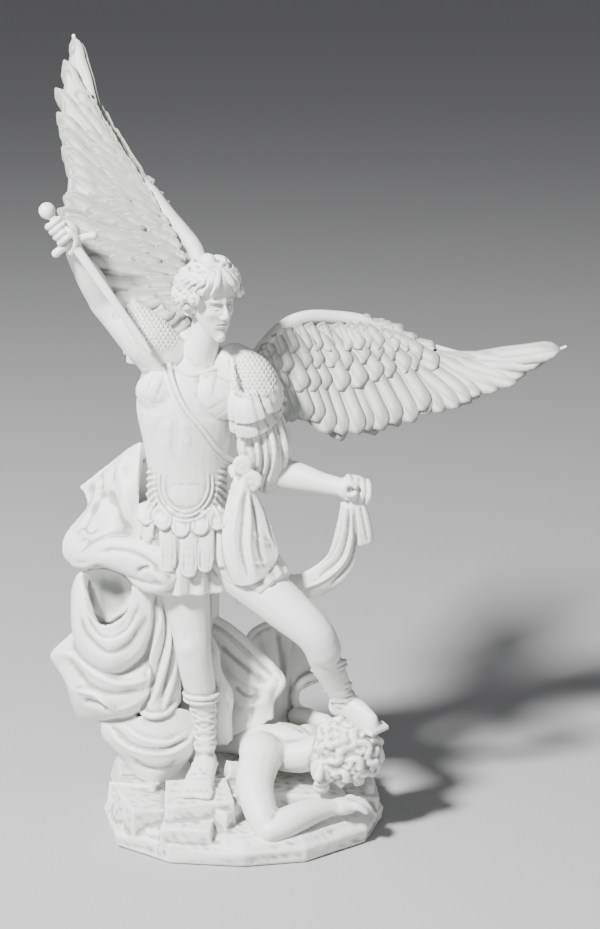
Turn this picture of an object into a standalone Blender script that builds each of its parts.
"""Winged archangel treading down a fallen demon: one cast statue on a rock base.

The group is drawn on a grid of 358 steps over its own height, with +X to the
viewer's right, +Y away from the viewer and the rock's top at height 0.
Each form is a closed shell. The shells are heaped together, fused into one
skin and then faceted.
"""
import math

import bmesh
import bpy
import numpy as np
from mathutils import Euler, Vector
from mathutils.bvhtree import BVHTree

# Driving sizes, in metres
FIGURE_HEIGHT = 0.358
PLINTH_WIDTH = 0.134
PLINTH_DEPTH = 0.126
PLINTH_THICKNESS = 0.012
RIM_CHAMFER = 0.003

# How finely the cast is made
GRID_STEPS = 358
FLESH_VOXEL = 1.3
SKIN_VOXEL = 0.9
TRIANGLES = 9700

GRID = FIGURE_HEIGHT / GRID_STEPS
FRONT = np.array((0.0, -1.0, 0.0))

# The drawing of the front: where it is seen from, in grid steps, how far the view
# leans down, the drawing's middle and its scale
DRAWN_FROM = (27.0, -1018.8, 416.0)
DRAWN_LEAN = math.radians(14)
DRAWN_MIDDLE = (300, 464.5)
DRAWN_SCALE = 2266


class Clay:
    """Closed shells heaped together, in grid steps."""

    def __init__(self):
        self.points = []
        self.faces = []

    def shell(self, points, faces):
        start = len(self.points)
        self.points.extend(tuple(point) for point in points)
        self.faces.extend(tuple(start + corner for corner in face) for face in faces)


def unit(vectors):
    vectors = np.asarray(vectors, float)
    return vectors / np.maximum(np.linalg.norm(vectors, axis=-1, keepdims=True), 1e-9)


def curve_at(rows, share):
    """Point or row at a share from 0 to 1 along a smooth curve through the rows."""
    rows = np.asarray(rows, float)
    share = np.clip(np.atleast_1d(share), 0, 1) * (len(rows) - 1)
    first = np.minimum(share.astype(int), len(rows) - 2)
    part = (share - first).reshape((-1,) + (1,) * (rows.ndim - 1))
    ends = np.concatenate([[2 * rows[0] - rows[1]], rows, [2 * rows[-1] - rows[-2]]])
    before, here, after, beyond = (ends[first + k] for k in range(4))
    return 0.5 * (
        2 * here
        + (after - before) * part
        + (2 * before - 5 * here + 4 * after - beyond) * part ** 2
        + (3 * here - before - 3 * after + beyond) * part ** 3
    )


def limb(clay, rows, side=(1, 0, 0), around=14, steps=4, bulge=1.0, pleats=(0, 0.0)):
    """Limb through rows of x, y, z, half width along side, half depth.

    Its ends are round, or flat with a bulge near 0. Pleats are their count and their depth at the far end.
    """
    track = curve_at(rows, np.linspace(0, 1, steps * (len(rows) - 1) + 1))
    centre = track[:, :3]
    half = np.maximum(track[:, 3:], 0.15)
    along = unit(np.gradient(centre, axis=0))
    side = np.asarray(side, float)
    across = unit(side - along * (along @ side)[:, None])
    deep = np.cross(along, across)
    share = np.linspace(0, 1, len(centre))
    rings = []
    for reach in (75, 50, 25):
        shift = centre[0] - along[0] * half[0].min() * bulge * math.sin(math.radians(reach))
        rings.append((shift, across[0], deep[0], half[0] * math.cos(math.radians(reach)), 0.0))
    rings += list(zip(centre, across, deep, half, share))
    for reach in (25, 50, 75):
        shift = centre[-1] + along[-1] * half[-1].min() * bulge * math.sin(math.radians(reach))
        rings.append((shift, across[-1], deep[-1], half[-1] * math.cos(math.radians(reach)), 1.0))
    points = []
    for middle, wide, high, size, reach in rings:
        for k in range(around):
            turn = 2 * math.pi * k / around
            swell = 1 + pleats[1] * reach * math.cos(pleats[0] * turn)
            points.append(middle + (wide * size[0] * math.cos(turn) + high * size[1] * math.sin(turn)) * swell)
    faces = []
    for ring in range(len(rings) - 1):
        for k in range(around):
            here, after = ring * around + k, ring * around + (k + 1) % around
            faces.append((here, after, after + around, here + around))
    last = (len(rings) - 1) * around
    points += [centre[0] - along[0] * half[0].min() * bulge, centre[-1] + along[-1] * half[-1].min() * bulge]
    for k in range(around):
        faces.append(((k + 1) % around, k, len(points) - 2))
        faces.append((last + k, last + (k + 1) % around, len(points) - 1))
    clay.shell(points, faces)


def ball(clay, centre, radii, turn=(0, 0, 0), around=16, rings=10):
    """Egg with three radii, turned by degrees about X, Y and Z."""
    matrix = np.array(Euler([math.radians(angle) for angle in turn]).to_matrix())
    points = [(0, 0, 1)]
    for ring in range(1, rings):
        lean = math.pi * ring / rings
        for k in range(around):
            spin = 2 * math.pi * k / around
            points.append((math.sin(lean) * math.cos(spin), math.sin(lean) * math.sin(spin), math.cos(lean)))
    points.append((0, 0, -1))
    faces = [(0, 1 + k, 1 + (k + 1) % around) for k in range(around)]
    for ring in range(rings - 2):
        for k in range(around):
            here, after = 1 + ring * around + k, 1 + ring * around + (k + 1) % around
            faces.append((here, here + around, after + around, after))
    last = 1 + (rings - 2) * around
    faces += [(last + k, len(points) - 1, last + (k + 1) % around) for k in range(around)]
    placed = (np.array(points) * radii) @ matrix.T + np.asarray(centre)
    clay.shell(placed, faces)


def cloth(clay, rows, thick, fine=(20, 20)):
    """Thick cloth through rows of points."""
    down, across = np.linspace(0, 1, fine[0]), np.linspace(0, 1, fine[1])
    grid = curve_at(rows, down)
    grid = np.swapaxes(curve_at(np.swapaxes(grid, 0, 1), across), 0, 1)
    out = unit(np.cross(np.gradient(grid, axis=1), np.gradient(grid, axis=0)))
    plate(clay, grid + out * thick / 2, grid - out * thick / 2)


def strap(clay, path, face, width, thick):
    """Flat leather strap with a rounded end, its face turned to face."""
    share = np.linspace(0, 1, 6)
    rows = [(*curve_at(path, s)[0], width * (1 if s < 0.85 else 0.6), thick) for s in share]
    along = unit(np.asarray(path[-1], float) - np.asarray(path[0], float))
    limb(clay, rows, side=np.cross(along, face), around=10, steps=1)


def fringe(clay, axis, radii, turns, forward, width, thick, flare=0.0):
    """Straps around an axis, from its first point to its last, at turns in degrees."""
    top, bottom = np.asarray(axis[0], float), np.asarray(axis[1], float)
    along = unit(bottom - top)
    ahead = unit(np.asarray(forward, float) - along * np.dot(forward, along))
    aside = np.cross(along, ahead)
    for turn in turns:
        out = ahead * math.cos(math.radians(turn)) + aside * math.sin(math.radians(turn))
        start = top + out * radii[0]
        end = bottom + out * (radii[1] + flare)
        middle = (start + end) / 2 + out * flare * -0.2
        strap(clay, (start, middle, end), out, width, thick)


def front_view(points):
    """Where points fall on the drawing of the front, made from a little above."""
    away = np.asarray(points, float) - DRAWN_FROM
    depth = away[:, 1] * math.cos(DRAWN_LEAN) - away[:, 2] * math.sin(DRAWN_LEAN)
    rise = away[:, 1] * math.sin(DRAWN_LEAN) + away[:, 2] * math.cos(DRAWN_LEAN)
    middle = DRAWN_MIDDLE
    return np.stack(
        [middle[0] + DRAWN_SCALE * away[:, 0] / depth, middle[1] - DRAWN_SCALE * rise / depth], axis=1
    )


def placed(rows):
    """Rows of points on the front drawing, each with its depth, set in space."""
    rows = np.asarray(rows, float)
    right = (rows[..., 0] - DRAWN_MIDDLE[0]) / DRAWN_SCALE
    drop = (rows[..., 1] - DRAWN_MIDDLE[1]) / DRAWN_SCALE
    reach = (rows[..., 2] - DRAWN_FROM[1]) / (math.cos(DRAWN_LEAN) - drop * math.sin(DRAWN_LEAN))
    out = rows.copy()
    out[..., 0] = DRAWN_FROM[0] + right * reach
    out[..., 1] = rows[..., 2]
    out[..., 2] = DRAWN_FROM[2] - reach * (math.sin(DRAWN_LEAN) + drop * math.cos(DRAWN_LEAN))
    return out


def crests(points, normals, strokes):
    """Points moved along their normals by strokes drawn on the front: path, width, height."""
    seen = front_view(points)
    facing = np.clip(-2.2 * normals[:, 1] + 0.3, 0, 1)
    rise, dip = np.zeros(len(points)), np.zeros(len(points))
    for path, width, height in strokes:
        track = curve_at(path, np.linspace(0, 1, 6 * len(path)))
        near = np.flatnonzero(((seen > track.min(axis=0) - 4 * width) & (seen < track.max(axis=0) + 4 * width)).all(axis=1))
        gap = np.full(len(near), 1e9)
        share = np.zeros(len(near))
        for k, (start, end) in enumerate(zip(track[:-1], track[1:])):
            run = end - start
            part = np.clip((seen[near] - start) @ run / (run @ run), 0, 1)
            here = np.linalg.norm(seen[near] - start - part[:, None] * run, axis=1)
            share = np.where(here < gap, (k + part) / (len(track) - 1), share)
            gap = np.minimum(gap, here)
        fade = np.clip(5 * np.minimum(share, 1 - share) + 0.25, 0, 1)
        if height > 0:
            rise[near] = np.maximum(rise[near], height * fade * np.exp(-(gap / width) ** 1.4))
        else:
            dip[near] = np.minimum(dip[near], height * fade * np.exp(-(gap / width) ** 2))
    return points + normals * (facing * (rise + dip))[:, None]


def cloak_folds():
    """Fold lines of the cloak on the front drawing: path, width and height of each."""
    return (
        (((104, 488), (112, 500), (121, 517), (134, 536)), 6, -2.6),
        (((99, 474), (97, 494), (88, 514), (76, 530)), 4, 1.5),
        (((128, 450), (120, 470), (127, 500), (137, 528)), 4, 1.4),
        (((116, 462), (108, 478), (104, 500), (94, 522), (86, 541)), 4, 1.0),
        (((80, 530), (92, 536), (106, 532), (124, 526)), 3.5, 1.2),
        (((92, 548), (108, 538), (134, 536), (154, 544), (168, 559)), 3.5, 1.2),
        (((96, 552), (114, 547), (134, 551), (152, 562), (160, 571)), 4, -1.6),
        (((137, 572), (141, 568), (150, 566)), 2.2, -1.8),
        (((82, 580), (87, 600), (95, 617), (107, 626), (120, 621), (130, 604)), 2.4, 1.4),
        (((77, 610), (86, 634), (108, 652), (130, 643), (145, 618)), 4, -1.3),
        (((81, 600), (95, 630), (110, 636), (127, 627), (139, 604)), 3, -0.7),
        (((150, 600), (148, 628), (138, 648), (124, 662)), 3, 1.0),
        (((56, 654), (72, 655), (92, 672), (114, 683), (134, 683), (152, 676)), 3.4, 1.5),
        (((72, 664), (90, 686), (114, 694), (140, 690)), 4, -1.4),
        (((75, 690), (86, 692), (97, 696), (112, 710)), 2.6, 1.6),
        (((82, 700), (96, 704), (108, 711)), 3, -1.6),
        (((116, 710), (132, 704), (146, 694), (153, 684)), 2.6, 1.2),
        (((160, 596), (161, 622), (153, 656), (146, 686)), 2.6, 1.9),
        (((167, 600), (170, 638), (162, 676), (152, 706)), 2.6, 1.9),
        (((175, 640), (173, 676), (163, 710)), 2.4, 1.6),
        (((164, 600), (166, 636), (157, 668), (148, 698)), 2.2, -1.8),
        (((171, 610), (172, 655), (162, 696)), 2.2, -1.8),
        (((138, 709), (150, 716), (166, 713), (178, 702)), 2.4, 1.5),
        (((105, 724), (120, 742), (143, 752), (168, 753), (186, 744), (194, 732)), 3, 1.5),
        (((122, 726), (142, 739), (166, 743), (187, 734)), 3, 1.3),
        (((114, 728), (132, 745), (160, 750), (186, 740)), 2.6, -1.6),
        (((126, 756), (146, 768), (166, 768), (180, 758)), 3, -1.3),
    )


def scarf_folds():
    """Fold lines of the scarf on the front drawing."""
    return (
        (((352, 504), (352, 535), (345, 560), (326, 578), (302, 588)), 2.0, 1.3),
        (((347, 506), (344, 532), (334, 556), (314, 572)), 2.0, 0.9),
        (((349, 510), (348, 533), (340, 557), (320, 575)), 1.8, -1.4),
        (((355, 508), (356, 540), (350, 563), (332, 584)), 1.8, -1.0),
        (((361, 505), (368, 540)), 1.6, -0.8),
    )


def bat_folds():
    """Fold lines of the bat wings' membranes on the front drawing."""
    return (
        (((216, 632), (238, 652), (262, 672), (280, 684)), 3.4, 0.9),
        (((224, 660), (244, 678), (262, 687), (274, 690)), 4.0, 0.8),
        (((238, 700), (251, 705), (268, 702)), 3.0, 0.6),
        (((219, 645), (236, 660), (256, 676)), 3.4, -0.7),
        (((234, 686), (246, 695), (262, 697)), 3.0, -0.6),
        (((264, 630), (270, 655), (277, 688)), 4.5, 0.6),
        (((290, 628), (289, 650), (288, 680)), 4.5, 0.6),
        (((277, 630), (281, 655), (284, 680)), 4, -0.6),
    )


def face_form(here):
    """Plain head without features: jaw, cheeks, brow and skull in one loft."""
    limb(here, ((0, -7.6, 1.4, 2.8, 2.6), (0, -5.4, 4, 5.2, 5.4), (0, -3.4, 8, 7.2, 7.7), (0, -1.8, 12, 8.5, 9.7),
                (0, -0.4, 16, 9.2, 11), (0, 1, 20, 10, 12.2), (0, 2.5, 26, 10.8, 12.6), (0, 3.5, 31, 8.8, 10), (0, 4, 33.4, 4, 5)),
         side=(1, 0, 0), around=32, steps=4)
    limb(here, ((0, -10.0, 20.2, 1.5, 1.2), (0, -11.4, 16.0, 1.5, 1.5), (0, -12.6, 12.5, 1.9, 1.6)), around=12)
    for side in (-1, 1):
        ball(here, (side * 1.7, -11.7, 11.9), (1.1, 1.4, 1.0))
        ball(here, (side * 9.3, 1.5, 14.5), (1.2, 2.4, 3.4), (0, side * 8, 0))


def plate(clay, front, back):
    """Closed shell between a front and a back grid of points."""
    high, wide = front.shape[:2]
    count = high * wide
    faces = []
    for i in range(high - 1):
        for j in range(wide - 1):
            a = i * wide + j
            faces.append((a, a + wide, a + wide + 1, a + 1))
            faces.append((count + a, count + a + 1, count + a + wide + 1, count + a + wide))
    rim = [j for j in range(wide)] + [i * wide + wide - 1 for i in range(1, high)]
    rim += [(high - 1) * wide + j for j in range(wide - 2, -1, -1)] + [i * wide for i in range(high - 2, 0, -1)]
    for k, here in enumerate(rim):
        after = rim[(k + 1) % len(rim)]
        faces.append((here, after, count + after, count + here))
    clay.shell(np.concatenate([front.reshape(-1, 3), back.reshape(-1, 3)]), faces)


def plume(clay, start, end, out, half, bow, fine=(18, 11)):
    """Feather from its root to its round tip, with a raised rib and one split edge."""
    start, end = np.asarray(start, float), np.asarray(end, float)
    across = unit(np.cross(unit(end - start), out))
    reach = np.linspace(0, 1, fine[0])
    side = np.linspace(-1, 1, fine[1])
    width = half * (0.55 + 0.45 * np.clip(reach / 0.4, 0, 1))
    width = width * np.sqrt(np.clip(1 - np.clip((reach - 0.78) / 0.225, 0, 1) ** 2, 0.01, 1))
    spine = start + (end - start) * reach[:, None] + across * (bow * 4 * reach * (1 - reach))[:, None]
    spine = spine + out * (0.5 * reach ** 2)[:, None]
    round_off = np.clip(1 - side ** 4, 0, 1)
    split = 1 - 0.16 * np.exp(-((reach - 0.66) / 0.035) ** 2)
    spread = side[None, :] * np.where(side[None, :] > 0, split[:, None], 1)
    grid = spine[:, None, :] + across * (width[:, None] * spread)[..., None]
    rib = 0.16 * np.exp(-(side / 0.16) ** 2)[None, :] * (1 - 0.6 * reach[:, None])
    lean = 0.8 * side[None, :]
    front = grid + out * (0.35 * round_off[None, :] + rib + lean)[..., None]
    plate(clay, front, grid - out * (0.45 * round_off[None, :] - lean + 0.05)[..., None])


def left_depth(u, v):
    edge = np.interp(u, (250, 270, 290, 310, 335, 370, 410, 460, 500, 540, 567), (8, 15, 22, 27, 31, 34, 35, 33, 31, 27, 22))
    top = np.interp(u, (250, 272, 288, 309, 362, 401, 440, 483, 525, 567), (356, 332, 316, 310, 312, 327, 345, 356, 356, 344))
    return edge - 0.2 * (v - top)


def right_depth(u, v):
    edge = np.interp(v, (32, 75, 130, 182, 230, 258, 300), (44, 42, 37, 31, 24, 18, 12))
    right = np.interp(v, (32, 75, 103, 130, 154, 177, 197, 230, 258, 300), (74, 83, 94, 107, 121, 138, 158, 187, 203, 206))
    return edge - 0.13 * (right - u)


def wing_roots(clay):
    limb(clay, ((-12, 2, 200, 8, 8), (-4, 8, 205, 8, 8), (6, 13, 209, 6, 6)), side=(0, 0, 1))
    limb(clay, ((-24, 2, 204, 9, 8), (-26, 9, 214, 9, 8), (-26, 14, 224, 7, 6)), side=(1, 0, 0))


# Rock base

PLAN = (
    (-1.00, -0.10), (-0.88, -0.62), (-0.50, -0.92), (0.02, -1.00), (0.45, -0.90), (0.88, -0.54),
    (1.00, -0.10), (0.93, 0.30), (0.74, 0.70), (0.24, 0.96), (-0.36, 1.00), (-0.80, 0.74), (-0.97, 0.34),
)


def plinth(clay):
    """Irregular rock slab with a chipped rim, from below the cut up to the rock's top."""
    half = np.array((PLINTH_WIDTH, PLINTH_DEPTH)) / 2 / GRID
    low, chip = PLINTH_THICKNESS / GRID, RIM_CHAMFER / GRID
    count = len(PLAN)
    levels = ((-low - 4, 1.5), (-low, 1.2), (-low * 0.45, 0.0), (-low * 0.25, 1.6), (0.0, 1.6 + chip))
    points = []
    for k, (height, inset) in enumerate(levels):
        for corner, (x, y) in enumerate(PLAN):
            chisel = 1.3 * math.sin(2.4 * corner + 1.7 * k)
            reach = 1 - (inset + max(0.0, chisel)) / half.min()
            points.append((x * half[0] * reach, y * half[1] * reach, height))
    faces = [tuple(range(count))[::-1]]
    for ring in range(len(levels) - 1):
        for k in range(count):
            here, after = ring * count + k, ring * count + (k + 1) % count
            faces.append((here, after, after + count, here + count))
    last = (len(levels) - 1) * count
    points.append((0.0, 4.0, 3.0))
    faces += [(last + k, last + (k + 1) % count, len(points) - 1) for k in range(count)]
    clay.shell(points, faces)


def rock(clay, centre, size, turn, seed):
    """Broken block: the hull of a box's corners, each knocked about a little."""
    rng = np.random.default_rng(seed)
    form = bmesh.new()
    matrix = np.array(Euler([math.radians(angle) for angle in turn]).to_matrix())
    for x in (-1, 1):
        for y in (-1, 1):
            for z in (-1, 1):
                for cut in range(2):
                    corner = np.array((x, y, z)) * rng.uniform(0.72, 1.0, 3)
                    form.verts.new((corner * size) @ matrix.T + np.asarray(centre))
    hull = bmesh.ops.convex_hull(form, input=form.verts)
    spare = {item for item in hull["geom_interior"] + hull["geom_unused"] if isinstance(item, bmesh.types.BMVert)}
    bmesh.ops.delete(form, geom=list(spare), context="VERTS")
    form.verts.index_update()
    clay.shell([vert.co[:] for vert in form.verts], [[vert.index for vert in face.verts] for face in form.faces])
    form.free()


def rocks(clay):
    rock(clay, (-21, -32, 5), (17, 15, 9), (4, 0, 8), 1)
    rock(clay, (-45, -30, 0), (13, 14, 9), (0, 8, 24), 2)
    rock(clay, (-50, -8, 2), (11, 14, 8), (0, 10, 70), 3)
    rock(clay, (-24, -50, -2), (13, 8, 7), (0, 0, -10), 4)
    rock(clay, (-52, 18, 1), (12, 16, 8), (0, 12, 10), 5)
    rock(clay, (-30, 34, 2), (18, 18, 9), (6, 0, 30), 6)
    rock(clay, (6, 26, 4), (26, 24, 11), (4, 0, 12), 7)
    rock(clay, (32, 24, 1), (20, 20, 9), (0, 6, -20), 8)
    rock(clay, (52, 2, -2), (12, 18, 7), (0, 10, 5), 9)
    rock(clay, (-4, -16, 3), (15, 15, 9), (0, 0, 30), 10)
    rock(clay, (22, -10, 1), (26, 20, 9), (0, 4, 10), 11)
    rock(clay, (-5, -14, 14), (4, 4, 6), (10, 15, 20), 12)
    rock(clay, (-10, -36, 2), (9, 11, 8), (0, 6, -25), 13)


# Fallen demon

def demon(flesh):
    limb(flesh, (
        (-14, 32, 13, 13, 9), (-4, 22, 19, 11, 8), (8, 8, 24, 13, 9), (18, -4, 25, 17, 10),
        (27, -12, 24, 12, 9), (36, -16, 27, 8, 8), (44, -18, 29, 8, 8),
    ), side=(0.7, 0.7, 0))
    limb(flesh, ((9, 0, 31, 5, 3), (20, -8, 34, 7, 3), (29, -12, 32, 4, 3)), side=(0.6, 0.8, 0))
    ball(flesh, (8, -17, 27), (10, 11, 9))
    limb(flesh, ((9, -18, 26, 10, 10), (6, -33, 17, 9, 9), (10, -47, 6, 7.5, 8), (13, -52, 2, 6, 6)))
    limb(flesh, ((13, -52, 2, 7, 6), (22, -48, 5, 8, 7), (33, -41, 7, 6.5, 6), (41, -37, 7, 5, 4)), side=(0, 1, 0))
    ball(flesh, (47, -35, 7), (8, 6, 4), (0, 0, 15))
    for spread, (x, y) in enumerate(((58, -38), (60, -34), (59, -30), (55, -27))):
        limb(flesh, ((48, -36 + 2 * spread, 7, 2, 2), (x - 4, y, 8, 2, 2), (x, y, 5, 1.6, 1.6)), side=(0, 1, 0))
    limb(flesh, ((30, 4, 24, 9, 8), (44, 14, 14, 8, 7), (52, 17, 6, 7, 6), (58, 4, 4, 6, 5), (60, -8, 3, 5, 3)),
         side=(0, 0, 1))
    limb(flesh, ((-14, 32, 13, 12, 11), (-34, 34, 15, 10, 10), (-48, 24, 12, 8, 8), (-46, 34, 5, 7, 7),
                 (-34, 46, 2, 6, 5), (-24, 52, 1, 5, 4)), side=(0, 0, 1))
    limb(flesh, ((-10, 36, 11, 12, 11), (8, 46, 9, 10, 9), (24, 46, 8, 8, 8), (10, 54, 3, 7, 6), (-4, 56, 1, 6, 4)),
         side=(0, 0, 1))


def demon_head(clay):
    """Bowed head whose face is turned to the rock, under a thick mop of curls."""
    ball(clay, (49, -18.8, 28.6), (15.6, 14.2, 15.6), around=24, rings=16)
    ball(clay, (39, -25, 22), (7, 7, 8), (0, 20, 0))
    limb(clay, ((37, -30, 25, 1.5, 1.5), (35.5, -33, 20.5, 2.4, 2.2)), side=(1, 0, 0))
    ball(clay, (39, -29, 27), (5.5, 2.4, 1.6), (0, -12, -20))
    ball(clay, (37, -30, 16.5), (3.5, 2.6, 1.6))
    ball(clay, (37, -27, 13.5), (4, 4, 3.5))
    locks = 84
    for k in range(locks):
        rise = 1 - 2 * (k + 0.5) / locks
        spin = 2.4 * k
        flat = math.sqrt(1 - rise ** 2)
        out = np.array((flat * math.cos(spin), flat * math.sin(spin), rise))
        if out[2] < -0.78 or (out[0] < -0.75 and out[1] > -0.2):
            continue
        size = 1 + 0.25 * math.sin(5.1 * k)
        root = np.array((49, -18.5, 28)) + out * (14.8, 13.4, 15.2)
        flow = unit(np.cross(out, (math.sin(1.7 * k), 0.8 * math.cos(2.3 * k), 0.5)))
        aside = np.cross(out, flow)
        rows = []
        for step in range(6):
            wave = (-1) ** k * math.sin(1.25 * step) * 2.0
            curl = -0.34 * max(0, step - 2) ** 2
            spot = root + flow * (2.1 * step - 5 + curl) * size + aside * wave * size + out * (0.9 * math.sin(0.9 * step) + 0.3)
            rows.append((*spot, (2.1 - 0.2 * step) * size, (1.9 - 0.18 * step) * size))
        limb(clay, rows, side=out, around=18, steps=3, pleats=(4, 0.16))


def bat_wings(clay):
    rim = placed(((206, 622, 20), (215, 619, 20), (227, 626, 18), (241, 637, 15), (255, 650, 12), (268, 663, 9),
                  (279, 675, 5), (282, 683, 2)))
    foot = placed(((206, 735, 10), (214, 738, 8), (222, 738, 6), (232, 736, 5), (242, 732, 4), (252, 728, 3),
                   (262, 724, 2), (270, 718, 1)))
    middle = 0.5 * (rim + foot) + (0, 2, 0)
    middle[-1] = placed((274, 692, 1))
    middle[-2] = placed((266, 692, 0))
    cloth(clay, (rim, middle, foot), 3.4, fine=(40, 40))
    limb(clay, [(*point, 2.3, 2.3) for point in rim[1:]] + [(*placed((278, 690, 1)), 2.1, 2.1), (*placed((271, 700, 1)), 1.8, 2),
                (*placed((270, 716, 1)), 2, 2)], side=(0, 1, 0), around=12)
    flap = placed((
        ((203, 628, 10), (206, 632, 4), (212, 640, 2), (217, 650, 4)),
        ((206, 664, 4), (211, 664, -3), (216, 667, -4), (219, 672, 2)),
        ((213, 694, 4), (219, 694, -5), (226, 692, -5), (230, 694, 2)),
        ((210, 722, 4), (217, 722, -5), (224, 719, -5), (229, 716, 2)),
        ((212, 744, 4), (219, 744, -3), (226, 742, -3), (230, 740, 2)),
    ))
    cloth(clay, flap, 3.4, fine=(30, 16))
    limb(clay, [(*placed(point), 1.5, 1.5) for point in (
        (208, 633, 3), (216, 652, -2), (216, 672, -4), (225, 690, -6), (229, 704, -5), (222, 722, -5), (226, 742, -4))],
        around=10)
    far_rim = placed(((247, 645, 36), (252, 634, 38), (262, 627, 40), (274, 623, 41), (288, 623, 42), (304, 630, 41),
                      (318, 645, 37), (324, 665, 32), (326, 677, 28)))
    far_foot = placed(((262, 722, 26), (266, 724, 26), (270, 726, 26), (276, 728, 26), (282, 728, 27), (288, 726, 28),
                       (292, 722, 28), (295, 716, 28), (297, 708, 28)))
    between = 0.5 * (far_rim + far_foot) + (0, -3, 0)
    between[5:] = placed(((294, 668, 32), (296, 672, 31), (297, 682, 30), (296, 694, 29)))
    cloth(clay, (far_rim, between, far_foot), 3.4, fine=(36, 44))
    limb(clay, [(*point, 2.2, 2.2) for point in far_rim], side=(0, 1, 0), around=12)
    limb(clay, [(*placed(point), 2.1, 2.1) for point in (
        (330, 676, 27), (320, 675, 27), (308, 678, 28), (299, 686, 28), (295, 697, 28), (299, 708, 27), (310, 712, 24))],
        side=(0, 1, 0), around=12)
    limb(clay, [(*placed(point), 4, 4) for point in ((296, 716, 24), (310, 718, 20), (326, 722, 14))], around=12)


# Archangel's body

def body(flesh):
    lean = (0.97, 0, -0.22)
    limb(flesh, (
        (-23, -5, 112, 15, 12), (-24, -5, 126, 19, 14), (-25, -6, 144, 18.5, 13.5), (-25, -6, 162, 18, 13),
        (-25, -6, 178, 20.5, 14.5), (-25, -6, 192, 23, 15), (-23, -4, 204, 22, 12), (-21, -3, 213, 12, 8),
    ), side=lean, around=24)
    ball(flesh, (-36, -11, 199), (12, 8, 10), (0, 12, 0))
    ball(flesh, (-13, -12, 196), (12.5, 8, 10.5), (0, 12, 0))
    ball(flesh, (-25, -12, 152), (13, 8, 14))
    limb(flesh, ((-20, -3, 204, 12, 9), (-18.5, -4, 215, 8.5, 8), (-16.5, -6, 223, 7.4, 7.6), (-14, -8, 234, 7.4, 7.6)),
         side=(1, 0, 0))
    limb(flesh, ((-34, -1, 212, 7, 6), (-26, -1, 216, 6, 5), (-18, -1, 218, 5, 5), (-8, -1, 212, 6, 5),
                 (0, -2, 207, 7, 6)), side=(0, 1, 0))
    # Standing leg, on the viewer's left
    limb(flesh, (
        (-31, -6, 124, 13, 13), (-27, -8, 104, 12, 12.5), (-24, -11, 86, 9.5, 10), (-23, -13, 76, 8.6, 9),
        (-21, -11, 62, 8, 8.6), (-19, -10, 50, 6.8, 7.4), (-18, -11, 38, 5.2, 5.8), (-18, -13, 28, 5.2, 6),
    ), side=(1, 0.2, 0))
    ball(flesh, (-24, -18, 79), (5.5, 4.5, 6))
    limb(flesh, ((-18, -9, 20, 5.6, 5.6), (-18, -18, 20, 6, 5.2), (-20, -28, 17.5, 7, 4), (-21, -36, 15, 7.4, 3)),
         side=(1, 0, 0))
    for toe in range(5):
        limb(flesh, ((-26 + 2.9 * toe, -36, 15, 1.7, 1.7), (-27 + 3 * toe, -41 - (toe > 2) * 1.5, 14.6, 1.6, 1.8)),
             side=(1, 0, 0), around=8)
    # Treading leg, on the viewer's right
    limb(flesh, (
        (-13, -6, 124, 14, 14), (2, -14, 114, 13, 13), (20, -25, 101, 10.5, 11), (33, -31, 91, 9, 9.5),
        (38, -30, 82, 8.4, 8.6),
    ), side=(0.4, 0.8, 0.3))
    limb(flesh, ((35, -31, 90, 8, 8), (38, -27, 78, 7.8, 8), (43, -21, 65, 6.8, 7), (47, -17, 55, 5.4, 5.6),
                 (48, -15, 49, 5.4, 5.4)), side=(1, 0.4, 0))
    ball(flesh, (36, -36, 90), (5, 3.6, 5.5))
    limb(flesh, ((45, -12, 48, 5, 4.8), (51, -18, 50, 6, 5.6), (56, -23, 47, 6.6, 4.4), (60, -27, 44, 6.6, 3.4)),
         side=(-0.7, 0.7, 0))
    for toe in range(5):
        limb(flesh, ((57.5 + 1.9 * toe, -32 + 2.2 * toe, 43.6, 1.8, 1.7),
                     (60.4 + 1.8 * toe, -35 + 2.3 * toe, 42.4, 1.7, 1.6)), side=(-0.7, 0.7, 0), around=8)


def arms(flesh):
    # Sword arm, raised on the viewer's left
    limb(flesh, ((-38, -3, 214, 10, 10), (-47, -1, 222, 9, 9), (-56, 2, 231, 7.6, 7.6), (-63, 2, 239, 7, 7)),
         side=(0, 1, 0))
    limb(flesh, ((-63, 2, 239, 7, 6.6), (-68, -3, 250, 6.8, 6.4), (-73, -8, 260, 5, 4.6), (-75, -10, 266, 4.4, 4)),
         side=(0, 1, 0))
    ball(flesh, (-77, -12, 272), (6, 6, 6.5), (0, -30, 0))
    # Cloth arm, lowered on the viewer's right
    limb(flesh, ((-1, -4, 205, 10, 10), (6, -5, 190, 9, 9), (12, -4, 172, 8, 8), (14, -3, 160, 7.6, 7.6)),
         side=(0, 1, 0))
    limb(flesh, ((13, -3, 160, 7.4, 7.4), (25, -8, 159, 6.6, 7), (37, -13, 157, 5, 5.2), (45, -16, 156, 4.2, 4.6)),
         side=(0, 1, 0))
    ball(flesh, (50, -19, 156), (6.5, 5, 6))


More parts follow.
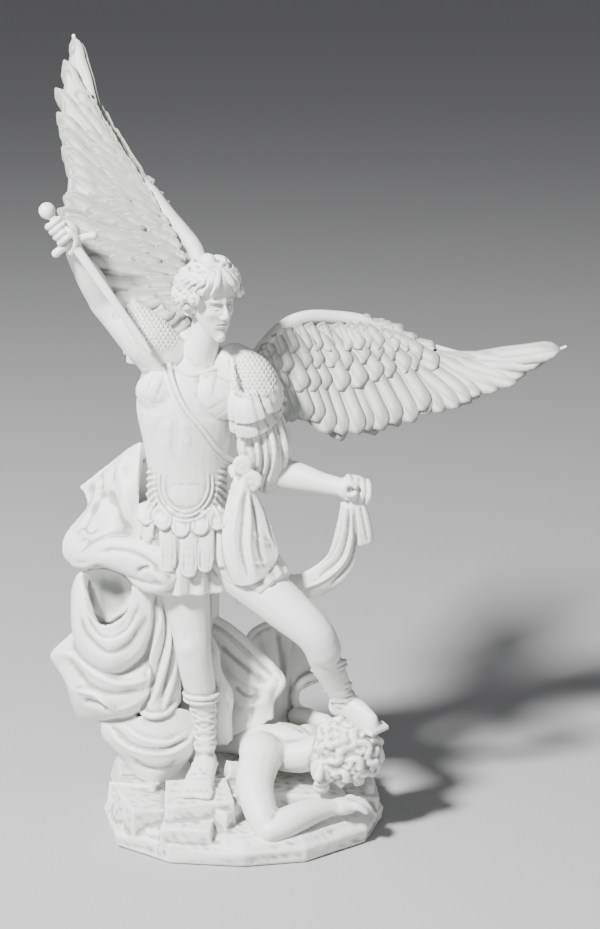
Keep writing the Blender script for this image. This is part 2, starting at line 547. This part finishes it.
def hands(clay):
    # Fist round the sword's grip, its fingers towards the viewer
    ball(clay, (-76.5, -10, 271), (5.2, 5.4, 6), (0, -30, 0))
    grip, end = placed((50, 213, -15)), placed((73, 243, -17))
    along = unit(end - grip)
    across = unit(np.cross(along, (0, -1, 0)))
    for finger in range(4):
        knuckle = grip + along * (3.4 + 2.9 * finger)
        rows = ((*(knuckle + across * 4.4 + (0, 2.6, 0)), 1.6, 1.7), (*(knuckle + across * 3.6 + (0, -1.6, 0)), 1.6, 1.7),
                (*(knuckle + across * 0.6 + (0, -3.6, 0)), 1.5, 1.6), (*(knuckle - across * 2.4 + (0, -2.2, 0)), 1.4, 1.5))
        limb(clay, rows, side=along, around=10, steps=4)
    limb(clay, [(*point, 1.7, 1.7) for point in (
        end + across * 1.5 + (0, 1, -2.5), end - along * 2 - across * 3.4 + (0, -1.6, -1), end - along * 6 - across * 3 + (0, -3.2, 0))],
        around=10)
    # Lowered fist that holds the scarf, its thumb over the curled first finger
    ball(clay, placed((355, 487, -18)), (7.6, 5.6, 6.2), (0, 14, 0), around=24, rings=16)
    for finger in range(4):
        base = placed((348 + 6.4 * finger, 484 + 1.6 * finger, -22))
        rows = ((*(base + (0.4, 4.4, 2.6)), 1.6, 1.7), (*(base + (0.8, -0.6, 2.0)), 1.65, 1.7),
                (*(base + (1.0, -2.4, -2.4)), 1.6, 1.6), (*(base + (0.2, -0.4, -5.6)), 1.4, 1.5))
        limb(clay, rows, side=(1, 0, 0), around=10, steps=4)
    ring = placed((351, 488, -25.5))
    limb(clay, [(*(ring + (2.7 * math.cos(turn), -1.0, 2.7 * math.sin(turn))), 1.3, 1.4) for turn in np.linspace(0.6, 5.6, 9)],
         side=(0, 1, 0), around=8, steps=2)


def sword(clay):
    guard, tip = np.array((-74.0, -17.0, 268.0)), np.array((-40.0, -23.0, 220.0))
    along = unit(tip - guard)
    limb(clay, [(*(guard + along * step), half, 1.3) for step, half in
                ((-2, 2.2), (8, 2.2), (24, 2.1), (40, 1.9), (52, 1.7), (59, 0.9))],
         side=np.cross(along, FRONT), around=10, steps=2)
    limb(clay, ((-82, -17, 264, 2, 2), (-78, -17, 267, 1.8, 1.8), (-70, -17, 271, 1.8, 1.8), (-65, -17, 272, 2, 2)),
         side=(0, 1, 0), around=8)
    limb(clay, ((-76, -15, 270, 2, 2), (-84, -12, 280, 2, 2)), side=(0, 1, 0), around=8)
    ball(clay, (-86, -12, 282.5), (3.8, 3.8, 3.8))


# Head, modelled facing the viewer with its chin at height 0, then turned into place

HEAD_PLACE = (-13.5, -10, 226)
HEAD_TURN = (10, -4, 35)


def head(clay):
    here = Clay()
    face_form(here)
    hair(here)
    matrix = np.array(Euler([math.radians(angle) for angle in HEAD_TURN]).to_matrix())
    clay.shell(np.array(here.points) @ matrix.T + np.array(HEAD_PLACE), here.faces)


def hair(here):
    """Wavy locks swept back from the brow, curling out over the ears and the nape."""
    ball(here, (0, 5.4, 22), (11.8, 13, 12.2), around=32, rings=18)

    def on_scalp(turn, level, lift):
        lean = math.sqrt(max(0.03, 1 - ((level - 20) / 15) ** 2))
        wide, deep = (11.2 + lift) * lean, (12.8 + lift) * lean
        return (math.sin(math.radians(turn)) * wide, 4 - math.cos(math.radians(turn)) * deep, level + lift * 0.4)

    # For each tier: first and last turn from the brow, count, height, sweep, drop and half thickness
    tiers = ((4, 40, 4, 31.5, 96, -1.0, 1.7), (16, 70, 6, 28.5, 74, 0.5, 1.9), (30, 104, 8, 25, 56, 3.0, 1.9),
             (58, 150, 8, 20.5, 44, 4.5, 1.9), (76, 176, 9, 16, 30, 5.0, 1.9), (84, 176, 8, 12, 20, 4.0, 1.7))
    for first, last, count, level, sweep, drop, thick in tiers:
        for side in (-1, 1):
            for k in range(count):
                turn = first + (last - first) * k / (count - 1)
                wave = 1.1 if (k + (side > 0)) % 2 else -0.9
                rows = []
                for share in np.linspace(0, 1, 6):
                    lift = 0.2 + 2.6 * math.sin(2.8 * share) + 0.5 * math.sin(9 * share + k)
                    height = level - drop * share + wave * math.sin(7 * share + k)
                    spot = on_scalp(side * (turn + sweep * share), height, lift)
                    rows.append((*spot, thick * (1 - 0.6 * share ** 2), thick * 0.8 * (1 - 0.5 * share)))
                limb(here, rows, side=(0.2, 0.1, 1), around=20, steps=4, pleats=(5, 0.13))
    for side in (-1, 1):
        for k in range(6):
            first = 4 + 13 * k
            rows = []
            for share in np.linspace(0, 1, 6):
                lift = 1.0 + 2.4 * math.sin(2.5 * share)
                height = 31.8 - 0.5 * k - (10.2 - 0.5 * k) * share ** 1.2 + 0.5 * math.sin(8 * share + k)
                spot = on_scalp(side * (first + (24 + 4 * k) * share), height, lift)
                rows.append((*spot, 1.9 * (1 - 0.6 * share ** 2), 1.4 * (1 - 0.5 * share)))
            limb(here, rows, side=(1, 0.1, 0.4), around=20, steps=4, pleats=(5, 0.13))
        for k in range(7):
            turn = side * (58 + 17 * k)
            level = 19.5 - 1.2 * k + 2.0 * (k % 2)
            middle = np.array(on_scalp(turn, level, 2.6))
            out = unit(middle - (0, 4, level))
            aside = unit(np.cross(out, (0, 0.2, 1)))
            ahead = np.cross(out, aside)
            rows = []
            for step in range(8):
                angle = math.radians(60 * step + 50 * k)
                swing = 2.5 - 0.22 * step
                spot = middle + (aside * math.cos(angle) + ahead * math.sin(angle)) * swing + out * 0.22 * step
                rows.append((*spot, 1.25, 1.25))
            limb(here, rows, side=out, around=10, steps=2)


# Armour and clothes

def on_skin(skin, x, z, lift):
    """Point on the front of the body at x and z, lifted towards the viewer."""
    hit = skin.ray_cast(Vector((x, -80, z)), Vector((0, 1, 0)))[0]
    depth = hit.y if hit is not None else -8.0
    return np.array((x, depth - lift, z))


def cuirass(clay, skin):
    """Neckband and the strap across the breast; the muscles are drawn on afterwards."""
    neck = [(*on_skin(skin, x, z, 0.2), 1.3, 1.1) for x, z in ((-36, 218), (-30, 211), (-21, 208), (-12, 210), (-6, 214))]
    limb(clay, neck, side=(0, 0.3, 1), around=8)
    belt = [on_skin(skin, *placed((u, v, -20))[[0, 2]], 0.7) for u, v in
            ((162, 348), (165, 364), (170, 382), (182, 406), (199, 427), (216, 452), (230, 467), (241, 476))]
    for offset in (-1.3, 1.3):
        limb(clay, [(*(point + (offset, 0, offset * 0.6)), 1.25, 1.2) for point in belt], side=(1, 0, 0.6), around=8)


def skirt(clay):
    """Tunic and two tiers of leather straps round the hips and over the treading thigh."""
    limb(clay, ((-25, -6, 146, 19, 14), (-25, -7, 132, 22, 16.5), (-26, -7, 118, 23.5, 18), (-26, -7, 107, 24.5, 19)),
         side=(1, 0, -0.12), around=72, bulge=0.1, pleats=(15, 0.075))
    limb(clay, ((-14, -7, 132, 14, 15), (-2, -13, 123, 14.2, 14.8), (8, -18, 115, 12.8, 13.4), (14, -21.5, 109, 10.9, 11.4)),
         side=(0.3, 0.8, 0.3), around=60, bulge=0.1, pleats=(11, 0.05))
    centre = np.array((-25.5, -6.5, 0.0))
    for k in list(range(-9, -2)) + [2]:
        turn = math.radians(k * 20 + 12)
        out = np.array((math.sin(turn), -math.cos(turn), 0))
        top, low = centre + out * (20, 15.5, 0), centre + out * (25, 20.5, 0)
        strap(clay, (top + (0, 0, 142), (top + low) / 2 + (0, 0, 129), low + (0, 0, 114.5)), out, 3.9, 1.6)
        strap(clay, (top + out + (0, 0, 144), top + out * 3 + (0, 0, 138), top + out * 4 + (0, 0, 131)), out, 4.2, 1.5)
    # Straps of the front: where each hangs, its end, its half width
    for u, low, half, y in ((151, 566, 3.6, -22), (168, 572, 4.3, -26), (189, 578, 4.5, -28), (205, 573, 4.4, -27.5),
                            (222, 568, 3.2, -25)):
        path = placed(((u, 512, y + 6), (u, (512 + low) / 2, y + 2.4), (u - 0.5, low - 4, y)))
        strap(clay, path, (0, -1, 0.12), half, 1.5)
    for u, low, half, y in ((146, 524, 4.2, -20), (163, 529, 4.3, -23.5), (181, 536, 4.6, -25.5), (200, 534, 4.6, -25.5),
                            (217, 529, 4.0, -23.5)):
        path = placed(((u, low - 20, y + 4.5), (u, low - 11, y + 1.6), (u, low - 3, y)))
        strap(clay, path, (0, -1, 0.12), half, 1.4)


def sash(clay):
    """Looped knot at the hip and the long folded end that hangs over the thigh."""
    for u, v, y, radius, turn in ((243, 464, -20, 2.6, 10), (252, 480, -21, 2.8, -25)):
        centre = placed((u, v, y))
        rows = []
        for step in range(9):
            angle = math.radians(turn + 40 * step)
            spot = centre + radius * np.array((math.cos(angle), -0.15 * math.cos(angle), math.sin(angle)))
            rows.append((*spot, 1.8, 2.4))
        limb(clay, rows, side=(0, 1, 0), around=10, steps=2)
        ball(clay, centre + (0, 0.8, 0), (3.2, 2.8, 3.2))
    limb(clay, [(*placed(point), 2.4, 2.6) for point in ((233, 468, -15), (240, 476, -17), (245, 484, -18))])
    cloth(clay, placed((
        ((236, 478, -17), (242, 480, -20), (247, 484, -20), (252, 490, -17)),
        ((228, 506, -20), (238, 508, -24), (250, 506, -23), (261, 506, -17)),
        ((224, 536, -24), (238, 538, -28), (254, 534, -27), (270, 530, -20)),
        ((228, 562, -26), (241, 566, -30), (257, 562, -30), (277, 549, -23)),
        ((236, 582, -26), (246, 584, -30), (258, 580, -31), (276, 560, -25)),
    )), 4, fine=(34, 30))


def shoulders(clay):
    # Mail shoulder piece, two tiers of straps and a puffed sleeve on the viewer's right
    limb(clay, ((-4, -4, 211, 9, 10.5), (4, -6, 205, 11, 11.5), (8, -7, 197, 12, 12)), side=(0, 1, 0), around=18)
    limb(clay, [(*placed(point), 1.2, 1.3) for point in (
        (232, 358, -12), (234, 375, -18), (238, 390, -20), (248, 395, -20), (259, 390, -16), (266, 379, -8))],
        side=(1, 0, 0), around=8)
    starts = placed(((236, 389, -17), (242, 392, -19), (249, 392, -19), (257, 388, -15), (263, 381, -9), (265, 373, -1),
                     (263, 367, 6)))
    ends = placed(((236, 418, -19), (245, 421, -22), (256, 419, -22), (267, 412, -18), (275, 402, -10), (279, 391, 0),
                   (278, 382, 8)))
    lower = placed(((236, 431, -18), (246, 436, -21), (259, 433, -20), (272, 425, -16), (281, 414, -8), (285, 402, 1),
                    (283, 393, 9)))
    for row_start, row_end, lift in ((starts, ends, 0.8), (starts + (0, 0, -8), lower, -0.4)):
        for k in range(9):
            share = k / 8
            start, end = curve_at(row_start, share)[0], curve_at(row_end, share)[0]
            out = unit(end - (6, -4, 196))
            out = unit(out * (1, 1, 0.2))
            middle = (start + end) / 2 + out * 1.4
            limb(clay, [(*(start + out * lift), 2.6, 1.1), (*(middle + out * lift), 3.3, 1.2), (*(end + out * lift), 3.6, 1.2)],
                 side=np.cross(unit(end - start), out), around=12, steps=3, bulge=0.3)
    limb(clay, ((9, -6, 184, 11, 10), (11, -6, 172, 12, 11), (12, -5, 162, 9.4, 9.4), (12, -4, 157, 7, 7)),
         side=(0, 1, 0), around=18)
    for k in range(8):
        turn = math.radians(-120 + 35 * k)
        out = np.array((math.sin(turn), -math.cos(turn), 0))
        limb(clay, ((*(np.array((9, -6, 186)) + out * 9), 1.8, 2), (*(np.array((11, -6, 173)) + out * 11.2), 2.2, 2.4),
                    (*(np.array((12, -5, 160)) + out * 7.5), 1.4, 1.6)), side=(1, 1, 0), around=8)
    # Mail shoulder piece on the raised arm, with its straps hanging under the arm
    limb(clay, ((-34, -4, 214, 10, 11), (-42, -4, 222, 11.4, 12), (-49, -2, 229, 10, 10.5)), side=(0, 1, 0), around=18)
    for k in range(6):
        start = placed((137 - 3.4 * k, 327 - 4.5 * k, -8))
        end = placed((131 - 3.2 * k, 361 - 8.5 * k, -6 + 0.8 * k))
        limb(clay, [(*start, 2.6, 1.2), (*((start + end) / 2 + (-0.6, -1, 0)), 2.8, 1.3), (*end, 2.5, 1.1)],
             side=(0.8, 0, -0.5), around=10, steps=3, bulge=0.4)
    fringe(clay, ((-44, -3, 222), (-56, 1, 230)), (9, 11), range(120, 241, 30), (0, -1, -0.4), 3.2, 1.4)


# Feathered wings

def wing(clay, lead, edge, depth, out, tiers, band, flip):
    """Wing on the front drawing: tiers of feathers on both sides of a web and a thick leading edge."""
    out = unit(out)
    web = []
    for share in (0.05, 0.35, 0.65, 1.0):
        line = curve_at(lead, np.linspace(0, 0.97, 12)) * (1 - share) + curve_at(edge, np.linspace(0, 0.97, 12)) * share
        web.append([(u, v, depth(u, v)) for u, v in line])
    cloth(clay, placed(web), WEB_THICKNESS, fine=(14, 40))
    chance = np.random.default_rng(11)
    for side in (1, -1):
        for count, roots, tips, half, lift in tiers:
            for k in range(count):
                share = min(1, max(0, (k + chance.uniform(-0.22, 0.22)) / (count - 1)))
                root, tip = curve_at(roots, share)[0], curve_at(tips, share)[0]
                proud = lift + WEB_THICKNESS / 2 - 0.1
                start = placed((*root, depth(*root))) + out * side * (proud + 0.4)
                end = placed((*tip, depth(*tip))) + out * side * (proud - 0.5)
                size = (half[0] * (1 - share) + half[1] * share) * chance.uniform(0.88, 1.1)
                end = end + (end - start) * chance.uniform(-0.07, 0.03)
                plume(clay, start, end, out * side, size, flip * side * 0.03 * np.linalg.norm(end - start))
    rows = [(*placed((u, v, depth(u, v))), half, half * 0.95) for (u, v), half in zip(lead, band)]
    limb(clay, rows, side=out, around=14, steps=6)


WEB_THICKNESS = 2.6
LEFT_LEAD = (
    (256, 360), (262, 348), (272, 337), (288, 323), (309, 316), (335, 316), (362, 319), (384, 328), (406, 337), (440, 347),
    (483, 357), (525, 357), (546, 353), (567, 345),
)
LEFT_EDGE = (
    (266, 388), (283, 402), (303, 408), (326, 420), (345, 424), (368, 420), (390, 414), (410, 406), (432, 399), (458, 392),
    (488, 384), (518, 370), (544, 358), (566, 346),
)
LEFT_BAND = (3.0, 3.5, 3.8, 3.8, 3.8, 3.6, 3.2, 2.6, 2.1, 1.6, 1.3, 1.1, 0.9, 0.7)
RIGHT_LEAD = (
    (201, 262), (194, 246), (183, 232), (169, 216), (159, 203), (150, 191), (137, 180), (119, 156), (105, 131), (92, 103),
    (82, 75), (77, 50), (73, 33),
)
RIGHT_EDGE = (
    (150, 330), (130, 312), (108, 292), (88, 268), (72, 240), (64, 216), (66, 194), (69, 168), (65, 142), (62, 116),
    (62, 90), (68, 60), (73, 36),
)
RIGHT_BAND = (4.0, 4.2, 4.3, 4.4, 4.3, 4.2, 4.0, 3.6, 3.1, 2.5, 1.9, 1.4, 0.9)
# For each tier: feathers in it, its roots and tips on the drawing, half widths and lift
LEFT_TIERS = (
    (8, ((384, 352), (396, 352), (410, 351), (424, 351), (436, 352), (454, 354)),
     ((432, 411), (459, 403), (480, 396), (505, 385), (532, 368), (566, 346)), (5.4, 3.6), 0.0),
    (14, ((262, 368), (270, 364), (290, 358), (312, 354), (336, 352), (362, 350), (392, 350)),
     ((270, 404), (288, 419), (312, 418), (339, 438), (369, 433), (400, 425), (432, 409)), (5.6, 6.0), 0.8),
    (13, ((260, 358), (270, 348), (292, 341), (320, 338), (350, 338), (378, 341), (402, 343)),
     ((266, 384), (284, 393), (316, 388), (346, 387), (378, 380), (406, 369), (440, 364)), (5.4, 5.8), 1.6),
    (13, ((258, 353), (268, 340), (289, 330), (314, 327), (342, 328), (368, 331), (394, 336)),
     ((263, 371), (277, 371), (306, 366), (336, 366), (364, 362), (394, 355), (424, 355)), (4.8, 5.2), 2.2),
    (14, ((258, 352), (266, 338), (288, 323), (316, 320), (342, 320), (364, 323), (390, 332)),
     ((262, 362), (272, 354), (298, 349), (327, 348), (356, 346), (380, 345), (410, 347)), (4.0, 4.2), 2.7),
    (5, ((346, 322), (364, 322), (382, 326), (400, 334), (414, 340)),
     ((372, 317), (390, 323), (406, 329), (418, 338), (436, 345)), (3.0, 2.6), 2.0),
)
RIGHT_TIERS = (
    (16, ((95, 104), (108, 146), (120, 178), (132, 206), (143, 228), (152, 246), (162, 264), (170, 284), (178, 300), (188, 314)),
     ((73, 34), (57, 84), (56, 114), (62, 146), (68, 170), (57, 200), (60, 232), (82, 272), (112, 312), (142, 336)),
     (6.0, 6.8), 0.0),
    (13, ((108, 178), (126, 210), (146, 246), (166, 280), (182, 306)),
     ((84, 170), (84, 212), (100, 252), (130, 292), (154, 322)), (4.6, 5.2), 0.7),
    (14, ((128, 194), (142, 222), (160, 254), (176, 284), (190, 306)),
     ((104, 180), (110, 214), (126, 248), (148, 284), (170, 310)), (3.8, 4.6), 1.4),
    (14, ((100, 126), (128, 172), (150, 202), (166, 228), (182, 256), (193, 288)),
     ((74, 86), (82, 134), (97, 168), (112, 200), (130, 240), (156, 286)), (5.0, 6.0), 1.1),
    (15, ((104, 130), (124, 158), (145, 187), (163, 215), (180, 245), (192, 280)),
     ((86, 98), (99, 130), (116, 160), (131, 194), (149, 234), (172, 278)), (4.2, 5.2), 1.8),
    (16, ((98, 116), (112, 138), (126, 158), (144, 183), (162, 211), (180, 241), (193, 277)),
     ((86, 88), (99, 112), (111, 134), (127, 161), (145, 193), (165, 230), (184, 272)), (3.4, 4.4), 2.3),
    (4, ((128, 164), (138, 176), (148, 190), (160, 205)), ((142, 178), (152, 184), (160, 194), (168, 206)), (2.4, 2.6), 1.6),
)


def wings(clay):
    wing(clay, LEFT_LEAD, LEFT_EDGE, left_depth, (0.15, -1, 0.05), LEFT_TIERS, LEFT_BAND, 1)
    wing(clay, RIGHT_LEAD, RIGHT_EDGE, right_depth, (-0.35, -1, 0.05), RIGHT_TIERS, RIGHT_BAND, -1)
    wing_roots(clay)


# Cloak and scarf

def cloak(clay):
    # Mass of cloth behind the standing leg, with long folds down its back
    limb(clay, (
        (-40, 8, 168, 6, 6), (-52, 12, 150, 11, 6), (-59, 15, 128, 11, 5), (-59, 15, 104, 12, 6),
        (-59, 10, 80, 14, 9), (-57, 9, 60, 15, 9), (-50, 8, 40, 13, 9), (-42, 7, 22, 12, 10), (-38, 8, 6, 14, 12),
    ), side=(1, 0.1, 0), around=20)
    limb(clay, ((-32, 12, 160, 8, 4), (-34, 14, 130, 14, 6), (-36, 14, 100, 16, 8), (-36, 14, 70, 16, 8),
                (-34, 14, 40, 15, 8), (-32, 14, 10, 15, 9)), side=(1, 0, 0), around=20)
    for k in range(7):
        x = -68 + 8.5 * k
        limb(clay, ((x * 0.55 - 16, 14, 158, 2, 2), (x, 19, 128, 3, 3), (x + 2, 22, 95, 3.4, 3.8), (x, 21, 60, 3.4, 4),
                    (x * 0.7 - 10, 20, 34, 3, 3.4), (x * 0.6 - 13, 20, 8, 3, 3)), around=8)
    # Flap blown out from the waist
    cloth(clay, placed((
        ((143, 441, 4), (133, 447, 8), (117, 459, 12), (98, 472, 15), (80, 486, 17)),
        ((141, 458, 0), (127, 465, 3), (111, 476, 8), (98, 486, 13), (86, 493, 15)),
        ((139, 480, -3), (126, 489, -3), (111, 500, 1), (100, 506, 7), (90, 506, 13)),
        ((138, 505, -5), (122, 512, -7), (106, 518, -4), (92, 522, 3), (81, 518, 11)),
        ((138, 525, -6), (118, 530, -8), (100, 537, -7), (84, 540, -1), (67, 535, 9)),
        ((138, 540, -6), (118, 547, -9), (98, 552, -9), (82, 554, -4), (65, 552, 8)),
        ((138, 550, -5), (120, 561, -7), (100, 566, -8), (85, 566, -4), (74, 562, 5)),
    )), 4, fine=(40, 34))
    # Fold rolled forward over the hip like a breaking wave
    limb(clay, [(*placed((u, v, y)), high, deep) for u, v, y, high, deep in (
        (76, 556, 3, 1.6, 3), (88, 555, -4, 3.6, 5), (104, 552, -10, 6.6, 7), (122, 554, -14, 8.4, 8),
        (142, 560, -18, 9.6, 8), (158, 569, -21, 9, 7), (169, 577, -22, 6, 5), (174, 581, -22, 3, 3))],
        side=(0, 0, 1), around=24, steps=5, bulge=0.5)
    limb(clay, [(*placed(point), 2.2, 2) for point in (
        (74, 562, 2), (86, 563, -7), (98, 559, -14), (114, 558, -19), (130, 562, -22), (146, 568, -25), (160, 576, -27),
        (168, 583, -26))], side=(0, 0, 1), around=10)
    limb(clay, [(*placed(point), 3.2, 3) for point in (
        (131, 572, -17), (140, 581, -21), (152, 586, -24), (165, 584, -25), (172, 576, -24))], side=(0, 0, 1), around=12)
    # Bag of cloth under it, open at the top, its lip a U
    cloth(clay, placed((
        ((84, 572, 2), (92, 566, 0), (106, 566, 0), (120, 570, 0), (134, 580, -2)),
        ((82, 588, 2), (92, 588, 4), (106, 590, 7), (120, 592, 6), (134, 594, -2)),
        ((80, 604, 1), (92, 612, 1), (106, 622, 2), (120, 616, 2), (134, 606, -4)),
    )), 4, fine=(18, 24))
    cloth(clay, placed((
        ((84, 570, 1), (86, 596, -6), (93, 617, -10), (107, 627, -13), (121, 621, -13), (130, 606, -12), (132, 584, -11)),
        ((79, 576, 2), (79, 606, -5), (87, 632, -10), (108, 643, -17), (128, 634, -16), (141, 612, -13), (146, 588, -12)),
        ((75, 590, 5), (76, 624, -2), (85, 648, -8), (110, 663, -17), (133, 652, -14), (147, 624, -11), (153, 594, -9)),
        ((76, 600, 8), (77, 634, 2), (87, 656, -4), (112, 671, -11), (136, 659, -9), (151, 634, -5), (156, 598, -3)),
    )), 4.5, fine=(24, 40))
    # Lower layer, its tips blown out to the side and its edge turned over
    cloth(clay, placed((
        ((74, 632, 7), (90, 648, -4), (110, 662, -10), (130, 664, -9), (150, 652, -7), (160, 640, -4)),
        ((54, 652, 13), (75, 655, 0), (97, 668, -10), (118, 679, -14), (140, 676, -13), (156, 662, -8)),
        ((56, 660, 13), (70, 670, 2), (92, 684, -10), (116, 694, -15), (140, 690, -14), (154, 678, -9)),
        ((67, 676, 10), (76, 692, -2), (97, 702, -10), (116, 708, -13), (136, 704, -13), (152, 688, -8)),
        ((74, 700, 9), (84, 712, 2), (100, 714, -4), (114, 713, -9), (132, 711, -9), (148, 698, -6)),
        ((80, 716, 10), (92, 718, 6), (104, 718, 2), (116, 714, -2), (130, 712, -3), (145, 702, -2)),
    )), 4.5, fine=(34, 40))
    # Folds between the bag and the leg
    cloth(clay, placed((
        ((152, 590, -8), (160, 592, -9), (168, 594, -8), (178, 596, -6)),
        ((152, 630, -8), (160, 635, -11), (168, 640, -10), (177, 642, -6)),
        ((148, 672, -8), (157, 680, -12), (167, 684, -11), (178, 682, -6)),
        ((138, 708, -8), (152, 716, -14), (167, 712, -13), (178, 700, -7)),
    )), 4.5, fine=(40, 24))
    # Foot of the cloak on the rock
    cloth(clay, placed((
        ((104, 718, 0), (122, 720, -6), (140, 716, -10), (160, 714, -12), (178, 708, -10), (193, 714, -6)),
        ((106, 732, 0), (122, 743, -9), (143, 751, -15), (165, 753, -16), (184, 745, -13), (196, 732, -6)),
        ((118, 746, 2), (130, 757, -7), (146, 764, -12), (162, 766, -13), (180, 758, -10), (192, 744, -6)),
        ((130, 757, 4), (138, 770, -5), (148, 778, -9), (160, 779, -9), (172, 770, -8), (184, 756, -6)),
    )), 6, fine=(24, 36))


def scarf(clay):
    """Cloth held in the fist: a short rolled tail, and a long end that passes behind the thigh."""
    for k in range(3):
        limb(clay, [(*placed(point), 2.3 + 0.3 * k, 2.4) for point in (
            (354 + 1.5 * k, 497, -21), (358 + 2.6 * k, 514, -22), (360 + 3.6 * k, 530, -22), (362 + 3.2 * k, 541 - k, -21))],
            around=12)
    cloth(clay, placed((
        ((345, 500, -18), (350, 503, -21), (357, 504, -20)),
        ((339, 528, -16), (348, 532, -20), (357, 531, -19)),
        ((329, 555, -12), (343, 559, -17), (354, 563, -16)),
        ((306, 571, -8), (324, 580, -13), (335, 585, -12)),
        ((289, 574, -4), (300, 583, -8), (311, 595, -6)),
        ((262, 580, 0), (268, 590, -2), (276, 600, -1)),
        ((226, 580, 4), (232, 590, 4), (238, 602, 4)),
    )), 4.6, fine=(40, 16))


# Fusing the shells into one skin

def drawn(form, strokes):
    """Fused skin of one cloth, with its folds drawn on."""
    points, faces = form
    mesh = bpy.data.meshes.new("cloth")
    mesh.from_pydata([tuple(point) for point in points], [], faces)
    normals = np.empty(len(points) * 3)
    mesh.vertex_normals.foreach_get("vector", normals)
    bpy.data.meshes.remove(mesh)
    return crests(points, normals.reshape(-1, 3), strokes), faces


def settle(name, points, faces):
    mesh = bpy.data.meshes.new(name)
    mesh.from_pydata([tuple(point) for point in points], [], faces)
    thing = bpy.data.objects.new(name, mesh)
    bpy.context.scene.collection.objects.link(thing)
    return thing


def take(thing):
    """Points and faces of an object as its modifiers leave it; the object goes."""
    state = thing.evaluated_get(bpy.context.evaluated_depsgraph_get()).to_mesh()
    points = np.empty(len(state.vertices) * 3)
    state.vertices.foreach_get("co", points)
    faces = [tuple(polygon.vertices) for polygon in state.polygons]
    mesh = thing.data
    bpy.data.objects.remove(thing)
    bpy.data.meshes.remove(mesh)
    return points.reshape(-1, 3), faces


def fuse(clay, voxel, rounds):
    """One outer skin over all the shells, softened a little."""
    thing = settle("clay", clay.points, clay.faces)
    melt = thing.modifiers.new("Melt", "REMESH")
    melt.mode = "VOXEL"
    melt.voxel_size = voxel
    soften = thing.modifiers.new("Soften", "SMOOTH")
    soften.factor = 0.5
    soften.iterations = rounds
    return take(thing)


def largest_shell(points, faces):
    form = bmesh.new()
    corners = [form.verts.new(point) for point in points]
    for face in faces:
        form.faces.new([corners[k] for k in face])
    seen, best = set(), []
    for vert in form.verts:
        if vert in seen:
            continue
        heap, queue = [], [vert]
        seen.add(vert)
        while queue:
            item = queue.pop()
            heap.append(item)
            for edge in item.link_edges:
                other = edge.other_vert(item)
                if other not in seen:
                    seen.add(other)
                    queue.append(other)
        if len(heap) > len(best):
            best = heap
    keep = set(best)
    bmesh.ops.delete(form, geom=[vert for vert in form.verts if vert not in keep], context="VERTS")
    return form


def resin():
    material = bpy.data.materials.new("white_resin")
    material.use_nodes = True
    shader = material.node_tree.nodes["Principled BSDF"]
    shader.inputs["Base Color"].default_value = (0.82, 0.82, 0.80, 1)
    shader.inputs["Roughness"].default_value = 0.5
    shader.inputs["Metallic"].default_value = 0.0
    return material


def build():
    for old in list(bpy.data.objects):
        bpy.data.objects.remove(old)

    flesh = Clay()
    body(flesh)
    arms(flesh)
    demon(flesh)
    points, faces = fuse(flesh, FLESH_VOXEL, 6)
    skin = BVHTree.FromPolygons([tuple(point) for point in points], faces)

    clay = Clay()
    clay.shell(points, faces)
    plinth(clay)
    rocks(clay)
    demon_head(clay)
    hands(clay)
    sword(clay)
    head(clay)
    cuirass(clay, skin)
    skirt(clay)
    sash(clay)
    shoulders(clay)
    wings(clay)
    for hang, folds in ((cloak, cloak_folds()), (scarf, scarf_folds()), (bat_wings, bat_folds())):
        single = Clay()
        hang(single)
        clay.shell(*drawn(fuse(single, SKIN_VOXEL, 2), folds))
    points, faces = fuse(clay, SKIN_VOXEL, 2)

    form = largest_shell(points, faces)
    mesh = bpy.data.meshes.new("statue")
    bmesh.ops.triangulate(form, faces=form.faces)
    form.to_mesh(mesh)
    form.free()
    statue = bpy.data.objects.new("statue", mesh)
    bpy.context.scene.collection.objects.link(statue)
    facet = statue.modifiers.new("Facet", "DECIMATE")
    facet.ratio = TRIANGLES / len(mesh.polygons)
    points, faces = take(statue)

    # The underside is cut flat, and the grid is set to its real size
    form = bmesh.new()
    corners = [form.verts.new((x * GRID, y * GRID, z * GRID + PLINTH_THICKNESS)) for x, y, z in points]
    for face in faces:
        form.faces.new([corners[k] for k in face])
    cut = bmesh.ops.bisect_plane(
        form, geom=form.verts[:] + form.edges[:] + form.faces[:], plane_co=(0, 0, 0), plane_no=(0, 0, 1),
        clear_inner=True)
    edges = [item for item in cut["geom_cut"] if isinstance(item, bmesh.types.BMEdge)]
    bmesh.ops.edgeloop_fill(form, edges=edges)
    bmesh.ops.triangulate(form, faces=form.faces)
    bmesh.ops.recalc_face_normals(form, faces=form.faces)
    mesh = bpy.data.meshes.new("statue")
    form.to_mesh(mesh)
    form.free()
    statue = bpy.data.objects.new("statue", mesh)
    bpy.context.scene.collection.objects.link(statue)
    mesh.shade_smooth()
    mesh.set_sharp_from_angle(angle=math.radians(60))
    mesh.materials.append(resin())
    return statue


build()
